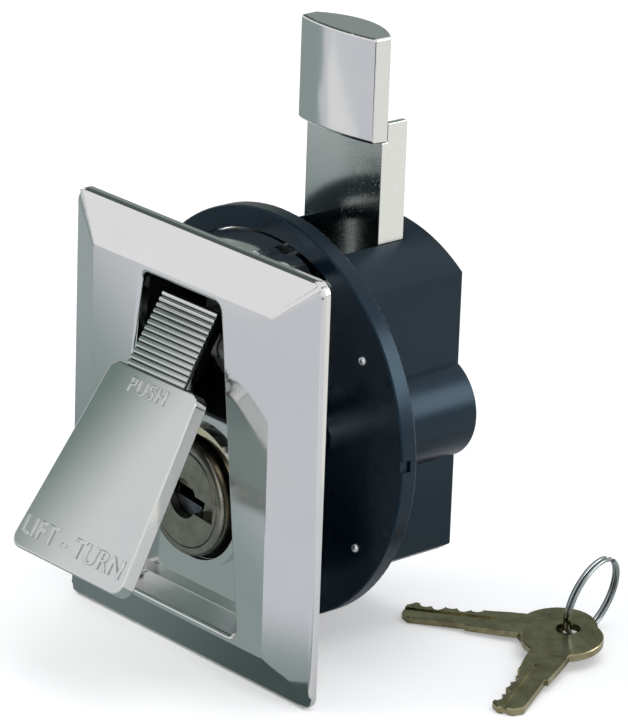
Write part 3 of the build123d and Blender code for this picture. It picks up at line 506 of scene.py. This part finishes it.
def shade_by_angle(mesh, degrees):
    """Smooth shading with sharp edges kept where the surface turns more than the angle."""
    shaded = bmesh.new()
    shaded.from_mesh(mesh)
    limit = math.radians(degrees)
    for face in shaded.faces:
        face.smooth = True
    for edge in shaded.edges:
        edge.smooth = len(edge.link_faces) == 2 and edge.calc_face_angle(0.0) < limit
    shaded.to_mesh(mesh)
    shaded.free()


def applied(piece):
    """Replace a piece's mesh by what its modifiers make of it."""
    bpy.context.view_layer.update()
    evaluated = piece.evaluated_get(bpy.context.evaluated_depsgraph_get())
    mesh = bpy.data.meshes.new_from_object(evaluated)
    piece.modifiers.clear()
    piece.data = mesh
    return mesh


def body_of_node(node):
    return frame["nodes"][node]["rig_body"]


def finish_piece(piece, node, slot):
    """Give a piece the material for a slot and let it stand for its CAD node."""
    piece.data.materials.clear()
    piece.data.materials.append(FINISHES[slot])
    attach(piece, body_of_node(node))
    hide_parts(node)


def dress(node, roundings):
    """Piece that stands for a CAD node, with chosen sharp edges rounded.

    Each rounding is a width in millimetres, a number of segments and a test of the edge's middle.
    """
    piece = bpy.data.objects.new(node + "_finished", merged_copy(node, node + "_finished"))
    bpy.context.scene.collection.objects.link(piece)
    for width, segments, test in roundings:
        mark_edges(piece.data, test)
        rounding = piece.modifiers.new("rounding", "BEVEL")
        rounding.width = width * MM
        rounding.segments = segments
        rounding.limit_method = "WEIGHT"
        rounding.use_clamp_overlap = False
        applied(piece)
    shade_by_angle(piece.data, 35.0)
    steady = piece.modifiers.new("steady_normals", "WEIGHTED_NORMAL")
    steady.keep_sharp = True
    applied(piece)
    finish_piece(piece, node, SLOT_OF[node])
    return piece


RIM_X, RIM_Z = 37.4, 43.8
FACE_Y = -5.7
PIVOT = Vector(PIVOT_MM)


def along_lever(point):
    """Distance of a point from the pivot, down the lifted lever."""
    lift = math.radians(LIFT_DEGREES)
    return (PIVOT.z - point.z) * math.cos(lift) + (PIVOT.y - point.y) * math.sin(lift)


def on_rim(point):
    return point.y < -0.5 and (abs(point.x) > RIM_X or abs(point.z) > RIM_Z)


ROUNDED = {
    "front_plate": [
        (0.85, 4, on_rim),
    ],
    "lever": [(0.3, 3, lambda p: along_lever(p) > 11.5)],
    "bolt_bar": [(0.2, 2, lambda p: p.z > 30)],
    "bolt_head": [(0.9, 4, lambda p: p.z < 60 and p.y < 35.5)],
}
for node_name, rules in ROUNDED.items():
    dress(node_name, rules)

for node_name, cad_object in frame["nodes"].items():
    if node_name in ROUNDED:
        continue
    cad_object.data.materials.clear()
    cad_object.data.materials.append(FINISHES[SLOT_OF[node_name]])


def lever_matrix():
    """From the flush lever's face, X right and Y up the paddle, to its lifted place."""
    lifted = Matrix.Rotation(math.radians(-LIFT_DEGREES), 4, "X")
    upright = Matrix.Rotation(math.radians(90), 4, "X")
    face = Matrix.Translation(Vector((0, -LEVER_FACE_MM * MM, 0)))
    return Matrix.Translation(Vector(PIVOT_MM) * MM) @ lifted @ face @ upright


def raised_word(name, words, centre_mm, height_mm, spacing=1.0):
    """Raised plain capitals on the paddle."""
    curve = bpy.data.curves.new(name, "FONT")
    curve.body = words
    curve.align_x = "CENTER"
    curve.align_y = "CENTER"
    curve.size = height_mm * MM / 0.7
    curve.space_character = spacing
    curve.extrude = 0.2 * MM
    curve.bevel_depth = 0.22 * MM
    curve.bevel_resolution = 2
    curve.offset = -0.12 * MM
    text = bpy.data.objects.new(name + "_text", curve)
    bpy.context.scene.collection.objects.link(text)
    bpy.context.view_layer.update()
    mesh = bpy.data.meshes.new_from_object(text.evaluated_get(bpy.context.evaluated_depsgraph_get()))
    bpy.data.objects.remove(text)
    mesh.transform(lever_matrix() @ Matrix.Translation(Vector((centre_mm[0], centre_mm[1], 0)) * MM))
    piece = bpy.data.objects.new(name, mesh)
    bpy.context.scene.collection.objects.link(piece)
    mesh.materials.clear()
    mesh.materials.append(FINISHES["lever_chrome"])
    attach(piece, "lever")
    return piece


raised_word("word_push", "PUSH", (0, -15.4), 3.1, 1.15)
raised_word("words_lift_turn", "LIFT - TURN", (0, -49.2), 3.9, 1.05)


def geometry_group(name, inputs):
    """Geometry node group with float inputs and one geometry output."""
    tree = bpy.data.node_groups.new(name, "GeometryNodeTree")
    for label, value in inputs:
        tree.interface.new_socket(name=label, in_out="INPUT", socket_type="NodeSocketFloat").default_value = value
    tree.interface.new_socket(name="Geometry", in_out="OUTPUT", socket_type="NodeSocketGeometry")
    return tree, tree.nodes.new("NodeGroupInput"), tree.nodes.new("NodeGroupOutput")


def split_ring_tree(material):
    """Two turns of wire side by side, with one short crossing from the first turn to the second."""
    tree, start, end = geometry_group(
        "split_ring", [("Radius", 0.009), ("Wire", 0.0004), ("Step", 0.0004), ("Crossing", 0.3)]
    )
    line = tree.nodes.new("GeometryNodeCurvePrimitiveLine")
    points = tree.nodes.new("GeometryNodeResampleCurve")
    points.inputs["Count"].default_value = 361
    tree.links.new(line.outputs["Curve"], points.inputs["Curve"])
    share = tree.nodes.new("GeometryNodeSplineParameter").outputs["Factor"]
    half_open = arithmetic(tree, "DIVIDE", start.outputs["Crossing"], 2.0)
    turned = arithmetic(tree, "SUBTRACT", 4 * math.pi, start.outputs["Crossing"])
    angle = arithmetic(tree, "ADD", arithmetic(tree, "MULTIPLY", share, turned), half_open)
    crossing = tree.nodes.new("ShaderNodeMapRange")
    crossing.interpolation_type = "SMOOTHSTEP"
    tree.links.new(angle, crossing.inputs["Value"])
    tree.links.new(arithmetic(tree, "SUBTRACT", 2 * math.pi, half_open), crossing.inputs["From Min"])
    tree.links.new(arithmetic(tree, "ADD", 2 * math.pi, half_open), crossing.inputs["From Max"])
    tree.links.new(arithmetic(tree, "MULTIPLY", start.outputs["Step"], -1.0), crossing.inputs["To Min"])
    tree.links.new(start.outputs["Step"], crossing.inputs["To Max"])
    place = tree.nodes.new("ShaderNodeCombineXYZ")
    tree.links.new(
        arithmetic(tree, "MULTIPLY", arithmetic(tree, "COSINE", angle, 0.0), start.outputs["Radius"]), place.inputs["X"]
    )
    tree.links.new(
        arithmetic(tree, "MULTIPLY", arithmetic(tree, "SINE", angle, 0.0), start.outputs["Radius"]), place.inputs["Y"]
    )
    tree.links.new(crossing.outputs["Result"], place.inputs["Z"])
    bent = tree.nodes.new("GeometryNodeSetPosition")
    tree.links.new(points.outputs["Curve"], bent.inputs["Geometry"])
    tree.links.new(place.outputs["Vector"], bent.inputs["Position"])
    section = tree.nodes.new("GeometryNodeCurvePrimitiveCircle")
    section.inputs["Resolution"].default_value = 20
    tree.links.new(start.outputs["Wire"], section.inputs["Radius"])
    wire = tree.nodes.new("GeometryNodeCurveToMesh")
    wire.inputs["Fill Caps"].default_value = True
    tree.links.new(bent.outputs["Geometry"], wire.inputs["Curve"])
    tree.links.new(section.outputs["Curve"], wire.inputs["Profile Curve"])
    real = tree.nodes.new("GeometryNodeRealizeInstances")
    tree.links.new(wire.outputs["Mesh"], real.inputs["Geometry"])
    coated = tree.nodes.new("GeometryNodeSetMaterial")
    coated.inputs["Material"].default_value = material
    tree.links.new(real.outputs["Geometry"], coated.inputs["Geometry"])
    tree.links.new(coated.outputs["Geometry"], end.inputs["Geometry"])
    return tree


def grown_mesh(name, tree, values):
    """Mesh that a geometry node group makes with the given input values."""
    seed_mesh = bpy.data.meshes.new(name + "_seed")
    grower = bpy.data.objects.new(name + "_grower", seed_mesh)
    bpy.context.scene.collection.objects.link(grower)
    modifier = grower.modifiers.new("grow", "NODES")
    modifier.node_group = tree
    sockets = {item.name: item.identifier for item in tree.interface.items_tree if item.in_out == "INPUT"}
    for label, value in values.items():
        modifier[sockets[label]] = value
    bpy.context.view_layer.update()
    evaluated = grower.evaluated_get(bpy.context.evaluated_depsgraph_get())
    mesh = bpy.data.meshes.new_from_object(evaluated)
    bpy.data.objects.remove(grower)
    return mesh


def split_ring():
    """Key ring grown as a split ring in the CAD ring's place, its crossing towards the top."""
    mesh = grown_mesh(
        "split_ring",
        split_ring_tree(FINISHES["ring_steel"]),
        {"Radius": RING_RADIUS_MM * MM, "Wire": RING_WIRE_MM * MM, "Step": RING_STEP_MM * MM, "Crossing": 0.3},
    )
    normal = Vector(RING_NORMAL).normalized()
    upward = (Vector((0, 0, 1)) - normal * normal.z).normalized()
    leaned = (Matrix.Rotation(math.radians(-24), 3, normal) @ upward).normalized()
    turned = Matrix((leaned, normal.cross(leaned), normal)).transposed().to_4x4()
    mesh.transform(Matrix.Translation(Vector(RING_CENTRE_MM) * MM) @ turned)
    for polygon in mesh.polygons:
        polygon.use_smooth = True
    piece = bpy.data.objects.new("split_ring", mesh)
    bpy.context.scene.collection.objects.link(piece)
    finish_piece(piece, "key_ring", "ring_steel")


split_ring()


def coil_springs_tree(material):
    """Two coil springs side by side, each with its last turn at either end closed."""
    tree, start, end = geometry_group(
        "coil_springs", [("Radius", 0.0025), ("Wire", 0.0004), ("Height", 0.025), ("Turns", 9.0), ("Apart", 0.013)]
    )
    line = tree.nodes.new("GeometryNodeCurvePrimitiveLine")
    points = tree.nodes.new("GeometryNodeResampleCurve")
    points.inputs["Count"].default_value = 289
    tree.links.new(line.outputs["Curve"], points.inputs["Curve"])
    share = tree.nodes.new("GeometryNodeSplineParameter").outputs["Factor"]
    turned = arithmetic(tree, "MULTIPLY", start.outputs["Turns"], 2 * math.pi)
    angle = arithmetic(tree, "MULTIPLY", share, turned)
    closed = arithmetic(tree, "DIVIDE", 1.0, start.outputs["Turns"])
    opened = arithmetic(tree, "SUBTRACT", 1.0, closed)
    wide = arithmetic(tree, "MULTIPLY", start.outputs["Wire"], 2.0)
    lower = spread(tree, share, 0.0, closed, start.outputs["Wire"], arithmetic(tree, "ADD", wide, start.outputs["Wire"]))
    run = arithmetic(tree, "SUBTRACT", start.outputs["Height"], arithmetic(tree, "MULTIPLY", wide, 3.0))
    middle = spread(tree, share, closed, opened, 0.0, run)
    upper = spread(tree, share, opened, 1.0, 0.0, wide)
    rise = arithmetic(tree, "ADD", arithmetic(tree, "ADD", lower, middle), upper)
    place = tree.nodes.new("ShaderNodeCombineXYZ")
    for axis, wave in (("X", "COSINE"), ("Y", "SINE")):
        reach = arithmetic(tree, "MULTIPLY", arithmetic(tree, wave, angle, 0.0), start.outputs["Radius"])
        tree.links.new(reach, place.inputs[axis])
    tree.links.new(rise, place.inputs["Z"])
    bent = tree.nodes.new("GeometryNodeSetPosition")
    tree.links.new(points.outputs["Curve"], bent.inputs["Geometry"])
    tree.links.new(place.outputs["Vector"], bent.inputs["Position"])
    section = tree.nodes.new("GeometryNodeCurvePrimitiveCircle")
    section.inputs["Resolution"].default_value = 10
    tree.links.new(start.outputs["Wire"], section.inputs["Radius"])
    wire = tree.nodes.new("GeometryNodeCurveToMesh")
    wire.inputs["Fill Caps"].default_value = True
    tree.links.new(bent.outputs["Geometry"], wire.inputs["Curve"])
    tree.links.new(section.outputs["Curve"], wire.inputs["Profile Curve"])
    seats = tree.nodes.new("GeometryNodeMeshLine")
    seats.mode = "END_POINTS"
    seats.inputs["Count"].default_value = 2
    for label, side in (("Start Location", -0.5), ("Offset", 0.5)):
        seat = tree.nodes.new("ShaderNodeCombineXYZ")
        tree.links.new(arithmetic(tree, "MULTIPLY", start.outputs["Apart"], side), seat.inputs["X"])
        tree.links.new(seat.outputs["Vector"], seats.inputs[label])
    pair = tree.nodes.new("GeometryNodeInstanceOnPoints")
    tree.links.new(seats.outputs["Mesh"], pair.inputs["Points"])
    tree.links.new(wire.outputs["Mesh"], pair.inputs["Instance"])
    real = tree.nodes.new("GeometryNodeRealizeInstances")
    tree.links.new(pair.outputs["Instances"], real.inputs["Geometry"])
    coated = tree.nodes.new("GeometryNodeSetMaterial")
    coated.inputs["Material"].default_value = material
    tree.links.new(real.outputs["Geometry"], coated.inputs["Geometry"])
    tree.links.new(coated.outputs["Geometry"], end.inputs["Geometry"])
    return tree


def coil_springs():
    """Return springs below the bolt bar, which the bolt presses together as it is drawn in; this mesh keeps one length.
    """
    low, high = SPRING_SPAN_MM
    mesh = grown_mesh(
        "coil_springs",
        coil_springs_tree(FINISHES["spring_steel"]),
        {
            "Radius": SPRING_COIL_MM * MM,
            "Wire": SPRING_WIRE_MM * MM,
            "Height": (high - low) * MM,
            "Turns": 9.0,
            "Apart": 2 * SPRING_X_MM * MM,
        },
    )
    mesh.transform(Matrix.Translation(Vector((0, SPRING_Y_MM, low)) * MM))
    for polygon in mesh.polygons:
        polygon.use_smooth = True
    piece = bpy.data.objects.new("coil_springs", mesh)
    bpy.context.scene.collection.objects.link(piece)
    finish_piece(piece, "bolt_springs", "spring_steel")
    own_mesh(piece)


coil_springs()


def pip_highlight_caps():
    """Steel caps over the housing's pips, which bite into the door's rear face; their bright steel is a painted
    highlight on the pips.
    """
    balls = bmesh.new()
    for place in PIPS_MM:
        where = Matrix.Translation(Vector(place) * MM)
        bmesh.ops.create_uvsphere(balls, u_segments=24, v_segments=12, radius=PIP_RADIUS_MM * MM, matrix=where)
    for face in balls.faces:
        face.smooth = True
    mesh = bpy.data.meshes.new("pip_highlight_caps")
    balls.to_mesh(mesh)
    balls.free()
    piece = bpy.data.objects.new("pip_highlight_caps", mesh)
    bpy.context.scene.collection.objects.link(piece)
    # Painted highlight: bright steel on the pips in place of their glint.
    mesh.materials.append(FINISHES["pin_steel"])
    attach(piece, "frame")


# Painted highlight: bright steel caps on the flange's pips.
pip_highlight_caps()


def stage_plane(name, corners, material):
    """Flat stage piece from its corner points in metres."""
    mesh = bpy.data.meshes.new(name)
    mesh.from_pydata([Vector(c) for c in corners], [], [tuple(range(len(corners)))])
    mesh.materials.append(material)
    plane = bpy.data.objects.new(name, mesh)
    bpy.context.scene.collection.objects.link(plane)
    return plane


def floor_material():
    """Pale matt floor that looks white to the camera where no shadow lies."""
    material, tree, shader = new_material("pale_floor", Roughness=0.9)
    shader.inputs["Base Color"].default_value = (0.9, 0.9, 0.9, 1)
    shader.inputs["Specular IOR Level"].default_value = 0.0
    shader.inputs["Emission Color"].default_value = (1, 1, 1, 1)
    seen = tree.nodes.new("ShaderNodeLightPath").outputs["Is Camera Ray"]
    tree.links.new(arithmetic(tree, "MULTIPLY", seen, FLOOR_GLOW), shader.inputs["Emission Strength"])
    return material


FLOOR_GLOW = 0.34
FLOOR_HALF = 3.0
stage_plane(
    "floor",
    [(-FLOOR_HALF, -FLOOR_HALF, FLOOR_Z), (FLOOR_HALF, -FLOOR_HALF, FLOOR_Z),
     (FLOOR_HALF, FLOOR_HALF, FLOOR_Z), (-FLOOR_HALF, FLOOR_HALF, FLOOR_Z)],
    floor_material(),
)


def card_material(name, first, second, axis, span_mm):
    """Plain glow from one side that runs between two tones along an axis; clear from behind."""
    material = bpy.data.materials.new(name)
    material.use_nodes = True
    tree = material.node_tree
    tree.nodes.remove(tree.nodes["Principled BSDF"])
    place = tree.nodes.new("ShaderNodeTexCoord").outputs["Object"]
    along = tree.nodes.new("ShaderNodeVectorMath")
    along.operation = "DOT_PRODUCT"
    tree.links.new(place, along.inputs[0])
    along.inputs[1].default_value = axis
    share = tree.nodes.new("ShaderNodeMapRange")
    share.interpolation_type = "SMOOTHSTEP"
    tree.links.new(along.outputs["Value"], share.inputs["Value"])
    share.inputs["From Min"].default_value = span_mm[0] * MM
    share.inputs["From Max"].default_value = span_mm[1] * MM
    mix = tree.nodes.new("ShaderNodeMix")
    mix.data_type = "RGBA"
    tree.links.new(share.outputs["Result"], mix.inputs["Factor"])
    mix.inputs["A"].default_value = (*first, 1)
    mix.inputs["B"].default_value = (*second, 1)
    glow = tree.nodes.new("ShaderNodeEmission")
    tree.links.new(mix.outputs["Result"], glow.inputs["Color"])
    sides = tree.nodes.new("ShaderNodeMixShader")
    tree.links.new(tree.nodes.new("ShaderNodeNewGeometry").outputs["Backfacing"], sides.inputs[0])
    tree.links.new(glow.outputs[0], sides.inputs[1])
    tree.links.new(tree.nodes.new("ShaderNodeBsdfTransparent").outputs[0], sides.inputs[2])
    tree.links.new(sides.outputs[0], tree.nodes["Material Output"].inputs["Surface"])
    return material


def card(name, corners_mm, first, second, axis=(1, 0, 0), span_mm=(0, 100)):
    """Grey card that only polished surfaces see, from the side where its corners run anticlockwise."""
    plane = stage_plane(name, [Vector(c) * MM for c in corners_mm], card_material(name, first, second, axis, span_mm))
    plane.visible_camera = False
    plane.visible_diffuse = False
    plane.visible_shadow = False
    plane.visible_transmission = False
    return plane


def level_card(name, x_span, y_span, z, *tones, **run):
    """Card lying level, seen from above."""
    corners = [(x_span[0], y_span[0], z), (x_span[1], y_span[0], z), (x_span[1], y_span[1], z), (x_span[0], y_span[1], z)]
    return card(name, corners, *tones, **run)


GROUND = FLOOR_Z / MM
# What the plate's face and right bevel mirror: green-grey near the plate, lilac-grey further off
level_card("front_grey", (-700, 120), (-700, -9), GROUND + 0.4, (0.32, 0.385, 0.375), (0.72, 0.73, 0.78),
           axis=(0.410, -0.912, 0), span_mm=(30, 62))
# What the left bevel mirrors, and the dark under the lower bevel
level_card("left_green", (-500, -39), (-22, 40), GROUND + 0.8, (0.38, 0.43, 0.44), (0.24, 0.30, 0.30),
           axis=(1, 0, 0), span_mm=(-240, -90))
level_card("low_green", (-80, 42), (-14, -1), GROUND + 1.0, (0.17, 0.22, 0.215), (0.07, 0.10, 0.095),
           axis=(1, 0, 0), span_mm=(-30, 25))
# What the paddle mirrors, seen from below: dark at its upper left, light at its lower right
card("paddle_card", [(-130, -7, 30), (30, -7, 30), (30, -140, 30), (-130, -140, 30)],
     (0.20, 0.27, 0.25), (0.84, 0.86, 0.88), axis=(0.683, -0.730, 0), span_mm=(-4, 16))
# What edges turned towards the camera mirror, and what the right sides mirror
card("paddle_edge_dark", [(34, -62, GROUND + 0.6), (46, -40, GROUND + 0.6), (150, -146, GROUND + 0.6),
                          (120, -176, GROUND + 0.6)], (0.02, 0.025, 0.03), (0.02, 0.025, 0.03))
level_card("head_edge_dark", (202, 420), (-420, -186), GROUND + 0.6, (0.03, 0.035, 0.04), (0.03, 0.035, 0.04))
level_card("right_light", (75, 800), (75, 800), GROUND + 0.3, (0.98, 0.97, 0.93), (0.98, 0.97, 0.93))
# What the front of the bolt head mirrors, lighter to the right
level_card("head_light", (-320, -150), (-260, -156), GROUND + 0.5, (0.70, 0.72, 0.76), (0.92, 0.92, 0.92),
           axis=(0.410, -0.912, 0), span_mm=(58, 72))
# What upper edges mirror, seen from below
card("upper_dark", [(-800, -260, 400), (-800, 500, 400), (-160, 500, 400), (-160, -260, 400)],
     (0.10, 0.12, 0.12), (0.10, 0.12, 0.12))
# Light that the screw bosses and the flange's rim mirror, seen from below
card("boss_light", [(240, 820, 120), (860, 260, 120), (860, 260, 560), (240, 820, 560)],
     (5.0, 5.0, 5.0), (5.0, 5.0, 5.0))
# Dark that the tops of the head, the housing and the keys mirror
card("rear_dark", [(-560, 140, -40), (-160, 620, -40), (-160, 620, 460), (-560, 140, 460)],
     (0.40, 0.42, 0.40), (0.26, 0.31, 0.29), axis=(0, 0, 1), span_mm=(150, 250))


def area_light(name, place, aim, size, power, colour=(1, 1, 1)):
    data = bpy.data.lights.new(name, "AREA")
    data.shape = "RECTANGLE"
    data.size, data.size_y = size
    data.energy = power
    data.color = colour
    lamp = bpy.data.objects.new(name, data)
    bpy.context.scene.collection.objects.link(lamp)
    lamp.location = place
    lamp.visible_glossy = False
    lamp.rotation_mode = "QUATERNION"
    lamp.rotation_quaternion = (Vector(aim) - Vector(place)).to_track_quat("-Z", "Y")
    return lamp


area_light("key_softbox", (-0.9, -1.0, 1.1), (0, 0, 0), (0.9, 0.9), 7.0, (1.0, 0.985, 0.95))
area_light("top_softbox", (0.3, 0.2, 1.4), (0, 0, 0), (1.1, 1.1), 6.0)
area_light("right_fill", (1.3, -0.2, 0.7), (0, 0, 0), (0.7, 0.9), 2.0, (0.95, 0.97, 1.0))


def build_world():
    """White to the camera and to gloss, a plain pale light to everything else."""
    world = bpy.data.worlds.new("studio")
    bpy.context.scene.world = world
    world.use_nodes = True
    tree = world.node_tree
    tree.nodes.clear()
    path = tree.nodes.new("ShaderNodeLightPath")
    seen = arithmetic(tree, "MAXIMUM", path.outputs["Is Camera Ray"], path.outputs["Is Glossy Ray"])
    seen = arithmetic(tree, "MAXIMUM", seen, path.outputs["Is Transmission Ray"])
    white = tree.nodes.new("ShaderNodeBackground")
    white.inputs["Color"].default_value = (1, 1, 1, 1)
    white.inputs["Strength"].default_value = 1.0
    fill = tree.nodes.new("ShaderNodeBackground")
    fill.inputs["Color"].default_value = (0.93, 0.96, 1.0, 1)
    fill.inputs["Strength"].default_value = 0.55
    mix = tree.nodes.new("ShaderNodeMixShader")
    tree.links.new(seen, mix.inputs[0])
    tree.links.new(fill.outputs[0], mix.inputs[1])
    tree.links.new(white.outputs[0], mix.inputs[2])
    out = tree.nodes.new("ShaderNodeOutputWorld")
    tree.links.new(mix.outputs[0], out.inputs["Surface"])


build_world()


def build_camera():
    data = bpy.data.cameras.new("camera")
    data.sensor_fit = "AUTO"
    data.sensor_width = SENSOR_MM
    data.lens = CAMERA_LENS_MM
    data.clip_start = 0.05
    data.clip_end = 20.0
    camera = bpy.data.objects.new("camera", data)
    bpy.context.scene.collection.objects.link(camera)
    right, up, forward = Vector(CAMERA_RIGHT), Vector(CAMERA_UP), Vector(CAMERA_FORWARD)
    turned = Matrix((right, up, -forward)).transposed().to_4x4()
    camera.matrix_world = Matrix.Translation(Vector(CAMERA_PLACE_MM) * MM) @ turned
    bpy.context.scene.camera = camera


build_camera()
bpy.context.scene.view_settings.view_transform = "Standard"
